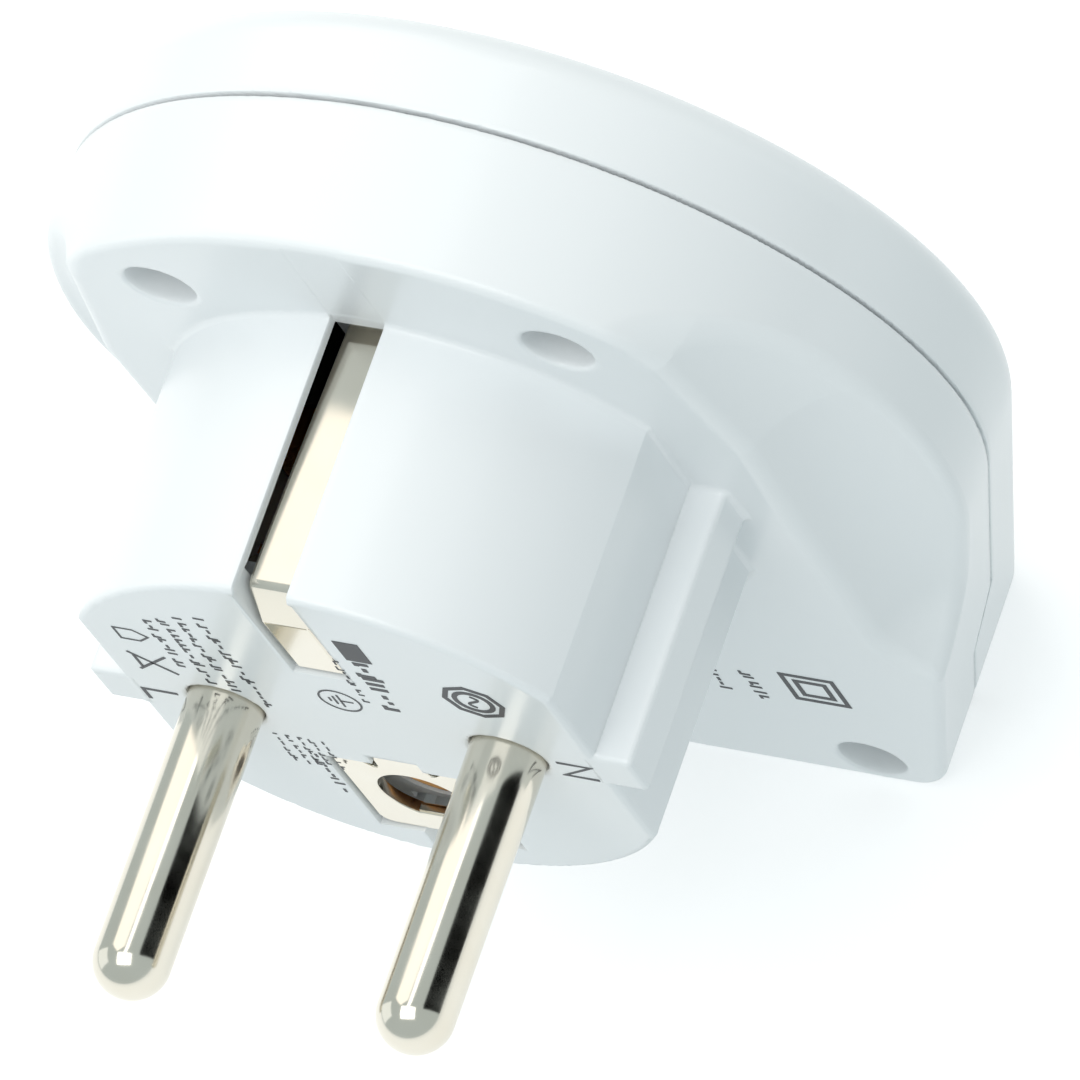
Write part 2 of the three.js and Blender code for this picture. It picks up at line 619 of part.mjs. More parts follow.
function transformerCore() {
  const t = TRANSFORMER;
  const [y0, y1] = [t.y - t.halfY, t.y + t.halfY];
  const body = box(t.x - t.halfX, t.x + t.halfX, y0, y1, t.z - t.halfZ, t.z + t.halfZ);
  const z = t.halfZ - t.yoke;
  const outer = t.halfX - t.side;
  const windows = [
    box(t.x - outer, t.x - t.leg, -FAR, 0, t.z - z, t.z + z),
    box(t.x + t.leg, t.x + outer, -FAR, 0, t.z - z, t.z + z),
  ];
  return cut(body, ...windows);
}

function transformerWinding() {
  const t = TRANSFORMER;
  const proud = 0.9;
  const x = t.halfX - t.side - GAP;
  const y = t.halfY + proud;
  const z = t.halfZ - t.yoke - GAP;
  const outer = box(t.x - x, t.x + x, t.y - y, t.y + y, t.z - z, t.z + z);
  const hole = box(t.x - t.leg - GAP, t.x + t.leg + GAP, t.y - t.halfY - GAP, t.y + t.halfY + GAP, -FAR, 0);
  return cut(outer, hole);
}

// A radial electrolytic capacitor lying along Z.
function canCapacitor(x, radius, z0, z1) {
  const y = BOARD.frontY - GAP - radius;
  const rim = rodZ(x, y, radius, z0, z1 - 1.6, 24);
  const groove = rodZ(x, y, radius - 0.35, z0, z1 - 0.8, 24);
  const end = rodZ(x, y, radius, z1 - 0.9, z1, 24);
  return union(rim, groove, end);
}

const rearY = BOARD.rearY + GAP;
const yCapacitor = () => rodY(0, -27.5, 3.2, rearY, rearY + 2.2, 28);
const bridgeRectifier = () => box(-16.5, -11, rearY, rearY + 2.3, -27.5, -23);
const controllerChip = () => box(7, 12, rearY, rearY + 1.5, -27.5, -23.5);
const outputDiode = () => box(-13.5, -9.2, rearY, rearY + 2.1, -32.6, -30);
const optocoupler = () => box(-2.3, 2.3, rearY, rearY + 2.2, -21.6, -15.2);
const fusibleResistor = () => rodX(rearY + 1.4, -18.6, 1.3, -17, -9);

function choke() {
  return turned(14.4, -18.6, [
    [0, rearY],
    [2.4, rearY],
    [2.4, rearY + 0.7],
    [1.7, rearY + 0.7],
    [1.7, rearY + 3],
    [2.4, rearY + 3],
    [2.4, rearY + 3.7],
    [0, rearY + 3.7],
  ], 24);
}

const LEAD = { x: 8.6, radius: 0.75 };

function insulatingBarrier() {
  const b = { half: 19, frontY: -28.6, rearY: -20.4, lowZ: -12.9, highZ: -12.2 };
  const notch = { half: 1.3, frontY: -25.2 };
  const sheet = box(-b.half, b.half, b.frontY, b.rearY, b.lowZ, b.highZ);
  const notches = mirrorX((s) => {
    const [near, far] = [LEAD.x - notch.half, LEAD.x + notch.half];
    return sideBox(s, near, far, notch.frontY, b.rearY + 1, b.lowZ - 1, b.highZ + 1);
  });
  return cut(sheet, notches);
}

// An insulated lead from a socket contact, under it and past the barrier to the board.
function lead(side) {
  return wire(
    [
      [side * 9.5, -10.4, -3.9],
      [side * 9.5, -10.9, -6.6],
      [side * 9.1, -13.2, -10],
      [side * LEAD.x, -17, -11.1],
      [side * LEAD.x, -21.8, -11.1],
      [side * LEAD.x, -23.7, -12.6],
      [side * LEAD.x, -24.2, -14.4],
    ],
    LEAD.radius,
    20,
  );
}

// ---------------------------------------------------------------- fasteners
function housingScrew({ x, z }) {
  const seat = SCREW.seatY + 0.05;
  const body = turned(x, z, [
    [0, SCREW.tipY],
    [0.5, SCREW.tipY],
    [SCREW.shank, SCREW.tipY + 1.4],
    [SCREW.shank, seat],
    [SCREW.head, seat],
    [SCREW.head, seat + SCREW.headTall * 0.7],
    [SCREW.head * 0.7, seat + SCREW.headTall],
    [0, seat + SCREW.headTall],
  ], 16);
  const top = seat + SCREW.headTall;
  const [long, narrow, deep] = [1.1, 0.25, 0.9];
  const cross = union(
    box(x - long, x + long, top - deep, top + 1, z - narrow, z + narrow),
    box(x - narrow, x + narrow, top - deep, top + 1, z - long, z + long),
  );
  return cut(body, cross);
}

// ---------------------------------------------------------------- assembly
const adapter = new THREE.Group();

function addNode(group, name, made, material) {
  const raw = made.getMesh();
  const g = new THREE.BufferGeometry();
  g.setAttribute("position", new THREE.BufferAttribute(new Float32Array(raw.vertProperties), 3));
  g.setIndex(new THREE.BufferAttribute(new Uint32Array(raw.triVerts), 1));
  g.computeVertexNormals();
  const mesh = new THREE.Mesh(g, material);
  mesh.name = name;
  group.add(mesh);
}

function addGroup(pieces) {
  const group = new THREE.Group();
  for (const [name, made, material] of pieces) addNode(group, name, made, material);
  adapter.add(group);
}

addGroup([
  ["rear_housing", rearHousing(), MATERIAL.shell],
  ["front_cover", frontCover(), MATERIAL.shell],
]);

addGroup([
  ["line_pin", pin(1), MATERIAL.nickel],
  ["neutral_pin", pin(-1), MATERIAL.nickel],
  ["pin_retainer", pinRetainer(), MATERIAL.retainer],
  ["upper_earth_clip", upperEarthClip(), MATERIAL.nickel],
  ["lower_earth_clip", lowerEarthClip(), MATERIAL.nickel],
  ["earth_pin_sleeve", frenchSleeve(), MATERIAL.bronze],
  ["earth_bridge", earthBridge(), MATERIAL.bronze],
]);

addGroup([
  ["line_socket_contact", poleContact(1), MATERIAL.bronze],
  ["neutral_socket_contact", poleContact(-1), MATERIAL.bronze],
  ["earth_socket_contact", earthContact(), MATERIAL.bronze],
  ["contact_carrier", contactCarrier(), MATERIAL.carrier],
  ["socket_shutter", socketShutter(), MATERIAL.shutter],
  ["shutter_spring", shutterSpring(), MATERIAL.steel],
]);

addGroup([
  ["usb_board", usbBoard(), MATERIAL.board],
  ["usb_shell", usbShell(), MATERIAL.steel],
  ["usb_tongue", usbTongue(), MATERIAL.black],
  ["transformer_core", transformerCore(), MATERIAL.ferrite],
  ["transformer_winding", transformerWinding(), MATERIAL.tape],
  ["input_capacitor", canCapacitor(11.6, 2.8, -31.6, -20.6), MATERIAL.sleeve],
  ["output_capacitor", canCapacitor(17.1, 2.2, -29, -20.6), MATERIAL.sleeve],
  ["safety_capacitor", yCapacitor(), MATERIAL.ceramic],
  ["bridge_rectifier", bridgeRectifier(), MATERIAL.black],
  ["controller_chip", controllerChip(), MATERIAL.black],
  ["output_diode", outputDiode(), MATERIAL.black],
  ["optocoupler", optocoupler(), MATERIAL.black],
  ["fusible_resistor", fusibleResistor(), MATERIAL.resistor],
  ["filter_choke", choke(), MATERIAL.ferrite],
  ["insulating_barrier", insulatingBarrier(), MATERIAL.barrier],
  ["line_lead", lead(1), MATERIAL.brownLead],
  ["neutral_lead", lead(-1), MATERIAL.blueLead],
]);

addGroup(SCREWS.map((screw) => ["screw_" + screw.name, housingScrew(screw), MATERIAL.steel]));

export default adapter;
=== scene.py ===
"""Looks of a travel plug adapter: white moulded shells, nickel pins and earth contacts, a universal socket
face with its safety shutter, and a USB port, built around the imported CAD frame. Lengths are in millimetres
until a mesh is made. +Y runs along the pins and +Z points to the upper earth clip."""

import json
import math

import bmesh
import bpy
import numpy as np
import openvdb as vdb
from mathutils import Matrix, Vector


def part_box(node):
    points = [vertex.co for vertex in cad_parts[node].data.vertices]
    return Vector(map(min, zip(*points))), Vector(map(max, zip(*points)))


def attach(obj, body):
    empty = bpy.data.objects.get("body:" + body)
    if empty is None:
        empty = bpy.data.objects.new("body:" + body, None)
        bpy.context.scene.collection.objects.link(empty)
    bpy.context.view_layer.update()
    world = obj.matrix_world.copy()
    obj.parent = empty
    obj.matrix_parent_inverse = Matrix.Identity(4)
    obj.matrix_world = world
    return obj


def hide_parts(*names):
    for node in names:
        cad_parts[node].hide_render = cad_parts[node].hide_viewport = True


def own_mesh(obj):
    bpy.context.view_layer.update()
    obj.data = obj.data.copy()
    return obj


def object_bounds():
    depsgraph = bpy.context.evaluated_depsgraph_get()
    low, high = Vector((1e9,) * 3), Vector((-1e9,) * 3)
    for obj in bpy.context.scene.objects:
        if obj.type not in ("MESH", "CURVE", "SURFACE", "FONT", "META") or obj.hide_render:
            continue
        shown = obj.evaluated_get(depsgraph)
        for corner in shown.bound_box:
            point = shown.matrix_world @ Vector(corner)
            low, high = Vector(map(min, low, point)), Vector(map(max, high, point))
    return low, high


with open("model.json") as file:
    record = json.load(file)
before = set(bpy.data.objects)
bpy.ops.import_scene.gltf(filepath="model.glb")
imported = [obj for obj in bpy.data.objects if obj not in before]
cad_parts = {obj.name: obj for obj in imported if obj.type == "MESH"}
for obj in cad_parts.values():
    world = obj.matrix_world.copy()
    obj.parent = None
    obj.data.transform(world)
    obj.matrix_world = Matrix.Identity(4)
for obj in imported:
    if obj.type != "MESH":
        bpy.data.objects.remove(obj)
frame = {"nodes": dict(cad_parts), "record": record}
CAD_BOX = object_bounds()
NODES = frame["nodes"]
SCENE = bpy.context.scene
MM = 0.001

# ---------------------------------------------------------------- dimensions
# These are the CAD part's, except that the notches in the plug face are 0.2 mm narrower on each side and the
# skin beside the slots is 0.25 mm thinner.
WALL = 1.8
GAP = 0.3
HEAD_RADIUS, HEAD_CENTRE_Z, HEAD_END_Z, HEAD_CORNER = 29.2, -2.0, -40.2, 2.0
HEAD_TAPER = math.radians(18)
REAR_Y, FRONT_Y = -18.2, -34.6
REAR_FILLET, FRONT_FILLET = 0.7, 2.5
PART_Y, PART_END_Y, STEP_TOP_Z, STEP_END_Z, LIP = -28.0, -24.5, -29.2, -32.2, 1.5
PLUG_RADIUS, PLUG_WALL, PLUG_EDGE, PLUG_FILLET = 18.4, 2.0, 0.5, 0.45
FLAT_X, RIB_X, RIB_Z, RIB_EDGE, RIB_ROOT = 15.8, 18.2, 1.85, 0.4, 0.6
GRIP_RADIUS, GRIP_Y = 6.9, -16.5
GRIP_PATH = [(22.5, 27.5), (26.2, 20.0), (28.4, 8.0), (28.1, -4.0), (27.9, -17.0)]
PIN_X, PIN_RADIUS, PIN_LENGTH, PIN_BORE_END_Y = 9.5, 2.4, 19.4, -5
SLOT_HALF, SLOT_FACE_HALF, SLOT_FLOOR_Z, SLOT_FACE_Z, FACE_DEPTH = 1.8, 1.95, 14.0, 7.4, 2.0
SKIN_Z, CAVITY_HALF, CAVITY_END_Y, BACKING = 17.55, 3.2, -19.3, 1.8
FLOOR_THICK, CAVITY_TAIL_Z = 1.6, 10.5
STRIP_HALF, STRIP_THICK, STRIP_FACE_Y, STRIP_BEND_Z = 1.65, 0.8, -0.2, 13.6
STRIP_REAR_Y, STRIP_TAIL_Y = -18.9, -17.0
WINDOW_HALF, WINDOW_TOP_Z, WINDOW_LOW_Z, WINDOW_RIM, NOTCH_HALF, NOTCH_Z = 5.0, -5.4, -15.2, 1.6, 1.7, -4.3
HOLE_Z, HOLE_RADIUS, SLEEVE_RADIUS, SLEEVE_END_Y = -10.0, 3.0, 3.4, -14.4
SCREWS = [(13.2, 18.5, PART_Y), (14.3, -37.2, PART_END_Y)]
BORE_RADIUS, SEAT_Y, BOSS_RADIUS, THROUGH_RADIUS = 2.25, -22.2, 3.3, 1.5
SOCKET_Z, POLE_X0, POLE_X1, POLE_HALF = -6.0, 5.0, 14.8, 2.3
BLADE_X, BLADE_HALF, BLADE_TALL = 6.35, 1.1, 3.5
EARTH_HALF, EARTH_LOW_Z, EARTH_HIGH_Z = 2.5, 3.3, 20.5
DISH_RADIUS, DISH_DEPTH = 24.0, 0.7
USB_HALF_X, USB_HALF_Y, USB_Y, USB_CLEAR, USB_CUT_Z = 6.65, 2.95, -29.4, 0.25, -37
RAIL_X, RAIL_HALF, RAIL_END_Y, RAIL_LOW_Z, RAIL_HIGH_Z = 16.4, 0.4, -31, -18.5, -1
STOP_HALF, STOP_END_Y, STOP_LOW_Z, STOP_HIGH_Z = 2, -29.6, -26.4, -25.4
SCREW_POST_RADIUS, SCREW_PILOT_RADIUS, SCREW_PILOT_END_Y = 2.6, 1.25, -31.6
TOP_Z = 28.0  # just past the round top
VOXEL = 0.3


# ---------------------------------------------------------------- signed distance fields
def rounded_max(a, b, radius):
    """Where both a and b are inside, with a convex fillet along their edge."""
    outside = np.hypot(np.maximum(a + radius, 0), np.maximum(b + radius, 0))
    return np.minimum(np.maximum(a, b), -radius) + outside


def rounded_min(a, b, radius):
    """Where a or b is inside, with a concave fillet in their corner."""
    return -rounded_max(-a, -b, radius)


def block(x, y, z, low, high):
    """A box between two corners. None leaves a side open."""
    sides = []
    for value, lo, hi in zip((x, y, z), low, high):
        if lo is not None:
            sides.append(lo - value)
        if hi is not None:
            sides.append(value - hi)
    field = sides[0]
    for side in sides[1:]:
        field = np.maximum(field, side)
    return field


def outline(x, z):
    """The head's outline: a round top, tapering sides, a flat end with round corners."""
    across, up = np.abs(x), z - HEAD_CENTRE_Z
    cos, sin = math.cos(HEAD_TAPER), math.sin(HEAD_TAPER)
    round_part = np.hypot(across, up) - HEAD_RADIUS
    taper = across * cos - up * sin - HEAD_RADIUS
    side = np.where(up * cos > -across * sin, round_part, taper)
    return rounded_max(side, HEAD_END_Z - z, HEAD_CORNER)


def parting(z):
    """The parting line's height, which steps to the rear near the flat end."""
    share = np.clip((STEP_TOP_Z - z) / (STEP_TOP_Z - STEP_END_Z), 0, 1)
    return PART_Y + (PART_END_Y - PART_Y) * share


def grips(x, y, z):
    """The two finger grips: a round cove along each side."""
    across = np.abs(x)
    nearest = None
    for (x0, z0), (x1, z1) in zip(GRIP_PATH, GRIP_PATH[1:]):
        dx, dz = x1 - x0, z1 - z0
        t = np.clip(((across - x0) * dx + (z - z0) * dz) / (dx * dx + dz * dz), 0, 1)
        gap = np.hypot(across - x0 - t * dx, z - z0 - t * dz)
        nearest = gap if nearest is None else np.minimum(nearest, gap)
    return np.hypot(nearest, y - GRIP_Y) - GRIP_RADIUS


def screw_columns(x, z, radius):
    """Round columns on the four screw axes, endless along Y."""
    across = np.abs(x)
    upper = np.hypot(across - SCREWS[0][0], z - SCREWS[0][1]) - radius
    lower = np.hypot(across - SCREWS[1][0], z - SCREWS[1][1]) - radius
    return np.minimum(upper, lower)


def plug_outside(x, y, z):
    """The round plug with a flat and a rib on each side."""
    across = np.abs(x)
    body = np.maximum(np.hypot(x, z) - PLUG_RADIUS, across - FLAT_X)
    body = rounded_max(body, y, PLUG_EDGE)
    rib = rounded_max(rounded_max(across - RIB_X, np.abs(z) - RIB_Z, RIB_EDGE), y, RIB_EDGE)
    rib = np.maximum(rib, FLAT_X - RIB_ROOT - across)
    return rounded_min(body, rib, 0.1)


def plug_hollow(x, y, z):
    """The plug's hollow, without the walls that stay around the clips and the face plate."""
    across, away = np.abs(x), np.abs(z)
    inner = PLUG_RADIUS - PLUG_WALL
    hollow = np.maximum(np.hypot(x, z) - inner, y + WALL)
    hollow = np.maximum(hollow, across - FLAT_X + WALL)
    back_y = -FACE_DEPTH - BACKING
    floor_z = SLOT_FLOOR_Z - FLOOR_THICK
    face_half, plate_half = SLOT_FACE_HALF + BACKING, WINDOW_HALF + WINDOW_RIM
    floor = block(across, y, away, (None, None, floor_z), (SLOT_HALF, None, SLOT_FLOOR_Z))
    end = block(across, y, away, (None, None, floor_z), (CAVITY_HALF, CAVITY_END_Y, None))
    face_wall = block(across, y, z, (None, back_y, SLOT_FACE_Z - BACKING), (face_half, None, SLOT_FLOOR_Z))
    plate_wall = block(across, y, z, (None, back_y, -SLOT_FLOOR_Z - 1), (plate_half, None, NOTCH_Z + 1.2))
    for wall in (floor, end, face_wall, plate_wall):
        hollow = np.maximum(hollow, -wall)
    return np.maximum(hollow, REAR_Y - WALL - 1 - y)


def earth_cuts(x, y, z):
    """The slots of both earth clips, the notch and the window in the face, and the hole for an earth pin."""
    across, away = np.abs(x), np.abs(z)
    slots = block(across, y, away, (None, REAR_Y, SLOT_FLOOR_Z), (SLOT_HALF, None, None))
    cavities = block(across, y, away, (None, CAVITY_END_Y, SLOT_FLOOR_Z), (CAVITY_HALF, -FACE_DEPTH, SKIN_Z))
    notch = block(across, y, z, (None, -FACE_DEPTH, SLOT_FACE_Z), (SLOT_FACE_HALF, None, SKIN_Z))
    low_notch = block(across, y, z, (None, -FACE_DEPTH, -SKIN_Z), (SLOT_FACE_HALF, None, -SLOT_FLOOR_Z))
    window = block(across, y, z, (None, -FACE_DEPTH, WINDOW_LOW_Z), (WINDOW_HALF, None, WINDOW_TOP_Z))
    tab = block(across, y, z, (None, -FACE_DEPTH, WINDOW_TOP_Z - 1), (NOTCH_HALF, None, NOTCH_Z))
    hole = np.maximum(np.hypot(x, z - HOLE_Z) - SLEEVE_RADIUS - 0.15, SLEEVE_END_Y - GAP - y)
    cuts = slots
    for cut in (cavities, notch, low_notch, window, tab, hole):
        cuts = np.minimum(cuts, cut)
    return cuts


def rear_housing(x, y, z):
    edge = outline(x, z)
    head = rounded_max(edge, y - REAR_Y, REAR_FILLET)
    body = rounded_min(head, plug_outside(x, y, z), PLUG_FILLET)
    body = rounded_max(body, parting(z) + GAP / 2 - y, 0.15)
    cove = grips(x, y, z)
    body = rounded_max(body, -cove, 0.9)
    body = rounded_max(body, -earth_cuts(x, y, z), 0.12)
    pins = np.maximum(np.hypot(np.abs(x) - PIN_X, z) - PIN_RADIUS - 0.1, PIN_BORE_END_Y - y)
    bores = np.maximum(screw_columns(x, z, BORE_RADIUS), SEAT_Y - y)
    body = rounded_max(body, -np.minimum(pins, bores), 0.3)
    chamber = np.maximum(np.maximum(edge + WALL, y - REAR_Y + WALL), WALL - cove)
    rebate = np.maximum(edge + WALL / 2 - 0.1, y - parting(z) - LIP - 2 * GAP)
    inside = np.minimum(np.minimum(chamber, plug_hollow(x, y, z)), rebate)
    inside = np.maximum(inside, -screw_columns(x, z, BOSS_RADIUS))
    inside = np.minimum(inside, screw_columns(x, z, THROUGH_RADIUS))
    return np.maximum(body, -inside)


def apertures(x, y, z):
    across = np.abs(x)
    poles = block(across, y, z - SOCKET_Z, (POLE_X0, None, -POLE_HALF), (POLE_X1, None, POLE_HALF))
    low, high = (-BLADE_HALF, None, -BLADE_TALL), (BLADE_HALF, None, BLADE_TALL)
    blades = block(across - BLADE_X, y, z - SOCKET_Z, low, high)
    earth = block(across, y, z, (None, None, EARTH_LOW_Z), (EARTH_HALF, None, EARTH_HIGH_Z))
    return np.minimum(np.minimum(poles, blades), earth)


def front_cover(x, y, z):
    edge, floor_y = outline(x, z), FRONT_Y + WALL
    body = rounded_max(edge, FRONT_Y - y, FRONT_FILLET)
    body = rounded_max(body, y - parting(z) + GAP / 2, 0.15)
    lip = np.maximum(np.maximum(edge + WALL / 2 + 0.1, y - parting(z) - LIP), floor_y - y)
    lip = np.maximum(lip, -screw_columns(x, z, BOSS_RADIUS + GAP))
    body = np.minimum(body, lip)
    dish = np.maximum(np.hypot(x, z) - DISH_RADIUS, y - FRONT_Y - DISH_DEPTH)
    body = rounded_max(body, -dish, 0.35)
    body = rounded_max(body, -apertures(x, y, z), 0.45)
    usb_high = (USB_HALF_X + USB_CLEAR, USB_HALF_Y + USB_CLEAR, USB_CUT_Z)
    usb = block(np.abs(x), np.abs(y - USB_Y), z, (None, None, None), usb_high)
    body = rounded_max(body, -usb, 0.3)
    chamber = np.maximum(edge + WALL, floor_y - y)
    posts = np.maximum(screw_columns(x, z, SCREW_POST_RADIUS), y - parting(z) + GAP / 2)
    beside_rail = np.abs(np.abs(x) - RAIL_X)
    rails = block(beside_rail, y, z, (None, None, RAIL_LOW_Z), (RAIL_HALF, RAIL_END_Y, RAIL_HIGH_Z))
    stop = block(np.abs(x), y, z, (None, None, STOP_LOW_Z), (STOP_HALF, STOP_END_Y, STOP_HIGH_Z))
    inside = chamber
    for kept in (posts, rails, stop):
        inside = np.maximum(inside, -kept)
    pilots = np.maximum(screw_columns(x, z, SCREW_PILOT_RADIUS), SCREW_PILOT_END_Y - y)
    return np.maximum(body, -np.minimum(inside, pilots))


# ---------------------------------------------------------------- meshes
def object_from(name, vertices, faces):
    """A mesh object from vertices in millimetres."""
    mesh = bpy.data.meshes.new(name)
    mesh.from_pydata((np.asarray(vertices, float) * MM).tolist(), [], faces)
    mesh.update()
    obj = bpy.data.objects.new(name, mesh)
    SCENE.collection.objects.link(obj)
    return obj


def gradient(field, points, reach=0.01):
    """The field's unit slope at each point, found from small steps."""
    slope = np.empty_like(points)
    for axis in range(3):
        step = np.zeros(3)
        step[axis] = reach
        ahead, behind = points + step, points - step
        slope[:, axis] = field(*ahead.T) - field(*behind.T)
    return slope / np.maximum(np.linalg.norm(slope, axis=1, keepdims=True), 1e-9)


def settle(field, points):
    """Each vertex moved onto the surface. Near a crease it goes to where the tangent planes meet."""
    reach = 0.42 * VOXEL
    slopes, feet = [], []
    for corner in range(8):
        offset = np.array([reach if corner >> axis & 1 else -reach for axis in range(3)])
        sample = points + offset
        slope = gradient(field, sample)
        slopes.append(slope)
        feet.append(sample - slope * field(*sample.T)[:, None])
    slopes, feet = np.stack(slopes), np.stack(feet)
    mean = slopes.mean(axis=0)
    mean /= np.maximum(np.linalg.norm(mean, axis=1, keepdims=True), 1e-9)
    creased = np.einsum("kij,ij->ki", slopes, mean).min(axis=0) < 0.93
    settled = points.copy()
    for _ in range(2):
        settled -= gradient(field, settled) * field(*settled.T)[:, None]
    slid = np.linalg.norm(settled - points, axis=1) > VOXEL
    settled = np.where(slid[:, None], points, settled)
    slopes, feet, start = slopes[:, creased], feet[:, creased], points[creased]
    near = (np.linalg.norm(feet - start, axis=2) < 1.3 * VOXEL).astype(float)
    planes = np.einsum("ki,kij,kil->ijl", near, slopes, slopes)
    pull = np.einsum("ki,kij,kil,kil->ij", near, slopes, slopes, feet)
    count = near.sum(axis=0)[:, None]
    middle = np.where(count > 0, np.einsum("ki,kij->ij", near, feet) / np.maximum(count, 1), start)
    rest = pull - np.einsum("ijk,ik->ij", planes, middle)
    moved = middle + np.linalg.solve(planes + 0.12 * np.eye(3), rest[:, :, None])[:, :, 0]
    too_far = np.linalg.norm(moved - start, axis=1) > 1.2 * VOXEL
    settled[creased] = np.where(too_far[:, None], settled[creased], moved)
    return settled


def field_object(name, field, low, high):
    """The surface of a distance field, with its shading normals taken from the field beside each corner."""
    counts = [int(math.ceil((hi - lo) / VOXEL)) + 1 for lo, hi in zip(low, high)]
    axes = [lo + VOXEL * np.arange(n) for lo, n in zip(low, counts)]
    values = np.empty(counts, np.float32)
    slab = 24
    for start in range(0, counts[0], slab):
        x = axes[0][start : start + slab, None, None]
        values[start : start + slab] = field(x, axes[1][None, :, None], axes[2][None, None, :])
    grid = vdb.FloatGrid(background=5.0)
    grid.copyFromArray(np.clip(values, -2, 2))
    points, quads = grid.convertToQuads(isovalue=0.0)
    points = points.astype(float) * VOXEL + np.array(low)
    points = settle(field, points)
    obj = object_from(name, points, quads.tolist())
    obj.data.shade_smooth()
    centres = points[quads].mean(axis=1).repeat(4, axis=0)
    beside = points[quads.ravel().astype(int)] * 0.7 + centres * 0.3
    obj.data.normals_split_custom_set(gradient(field, beside, 0.02).tolist())
    return obj


def lathe(name, profile, x=0.0, z=0.0, segments=96):
    """A profile of (radius, y) points turned about an axis along Y. Radius 0 closes an end in a point."""
    rings, vertices, faces = [], [], []
    for radius, y in profile:
        if radius == 0:
            rings.append([len(vertices)])
            vertices.append((x, y, z))
            continue
        rings.append(list(range(len(vertices), len(vertices) + segments)))
        for i in range(segments):
            a = 2 * math.pi * i / segments
            vertices.append((x + radius * math.cos(a), y, z + radius * math.sin(a)))
    for first, second in zip(rings, rings[1:]):
        for i in range(segments):
            j = (i + 1) % segments
            if len(first) == 1:
                faces.append((first[0], second[i], second[j]))
            elif len(second) == 1:
                faces.append((first[i], second[0], first[j]))
            else:
                faces.append((first[i], second[i], second[j], first[j]))
    obj = object_from(name, vertices, faces)
    smooth(obj, 35)
    return obj


def smooth(obj, degrees):
    """Smooth shading with creases where faces meet at more than the angle."""
    obj.data.shade_smooth()
    obj.data.set_sharp_from_angle(angle=math.radians(degrees))


def bevelled(obj, width, segments=3, degrees=35):
    """Rounded edges on a sharp-edged mesh."""
    bevel = obj.modifiers.new("edge", "BEVEL")
    bevel.width = width * MM
    bevel.segments = segments
    bevel.angle_limit = math.radians(degrees)
    bevel.harden_normals = True
    smooth(obj, degrees)
    return obj


def arc(centre, radius, start, end, steps):
    """Points along an arc, angles in degrees."""
    angles = [math.radians(start + (end - start) * i / steps) for i in range(steps + 1)]
    return [(centre[0] + radius * math.cos(a), centre[1] + radius * math.sin(a)) for a in angles]


def extruded_x(name, points, half):
    """A closed (y, z) outline drawn out from -half to +half along X."""
    count = len(points)
    vertices = [(-half, y, z) for y, z in points] + [(half, y, z) for y, z in points]
    faces = [tuple(range(count)), tuple(reversed(range(count, 2 * count)))]
    faces += [(i, i + count, (i + 1) % count + count, (i + 1) % count) for i in range(count)]
    obj = object_from(name, vertices, faces)
    face_outwards(obj)
    return obj


def face_outwards(obj):
    work = bmesh.new()
    work.from_mesh(obj.data)
    bmesh.ops.recalc_face_normals(work, faces=work.faces)
    work.to_mesh(obj.data)
    work.free()


# ---------------------------------------------------------------- materials
def material(name):
    made = bpy.data.materials.new(name)
    made.use_nodes = True
    nodes, links = made.node_tree.nodes, made.node_tree.links
    return made, nodes, links, nodes["Principled BSDF"]


def noise(nodes, links, scale, detail=4.0):
    """Object-space noise; scale is in waves per metre."""
    place = nodes.new("ShaderNodeTexCoord")
    texture = nodes.new("ShaderNodeTexNoise")
    texture.inputs["Scale"].default_value = scale
    texture.inputs["Detail"].default_value = detail
    links.new(place.outputs["Object"], texture.inputs["Vector"])
    return texture.outputs["Fac"]


def spread(nodes, links, value, low, high):
    """A 0 to 1 value stretched to the range low to high."""
    ramp = nodes.new("ShaderNodeMapRange")
    ramp.inputs["From Min"].default_value = 0.3
    ramp.inputs["From Max"].default_value = 0.7
    ramp.inputs["To Min"].default_value = low
    ramp.inputs["To Max"].default_value = high
    links.new(value, ramp.inputs["Value"])
    return ramp.outputs["Result"]


def tint(nodes, links, value, first, second):
    mix = nodes.new("ShaderNodeMix")
    mix.data_type = "RGBA"
    mix.inputs["A"].default_value = (*first, 1)
    mix.inputs["B"].default_value = (*second, 1)
    links.new(value, mix.inputs["Factor"])
    return mix.outputs["Result"]


def bump(nodes, links, shader, height, strength, distance):
    node = nodes.new("ShaderNodeBump")
    node.inputs["Strength"].default_value = strength
    node.inputs["Distance"].default_value = distance * MM
    links.new(height, node.inputs["Height"])
    links.new(node.outputs["Normal"], shader.inputs["Normal"])


def moulded(name, colour, roughness, depth=0.004, grain=9000, change=0.02, coat=0.0):
    """Moulded plastic: a fine grain from the mould, slight cloudiness in colour."""
    made, nodes, links, shader = material(name)
    cloud = noise(nodes, links, 45, 2)
    darker = tuple(c * (1 - change) for c in colour)
    links.new(tint(nodes, links, cloud, darker, colour), shader.inputs["Base Color"])
    shader.inputs["Roughness"].default_value = roughness
    shader.inputs["Specular IOR Level"].default_value = 0.5
    shader.inputs["Coat Weight"].default_value = coat
    shader.inputs["Coat Roughness"].default_value = 0.12
    bump(nodes, links, shader, noise(nodes, links, grain, 3), 0.35, depth)
    return made


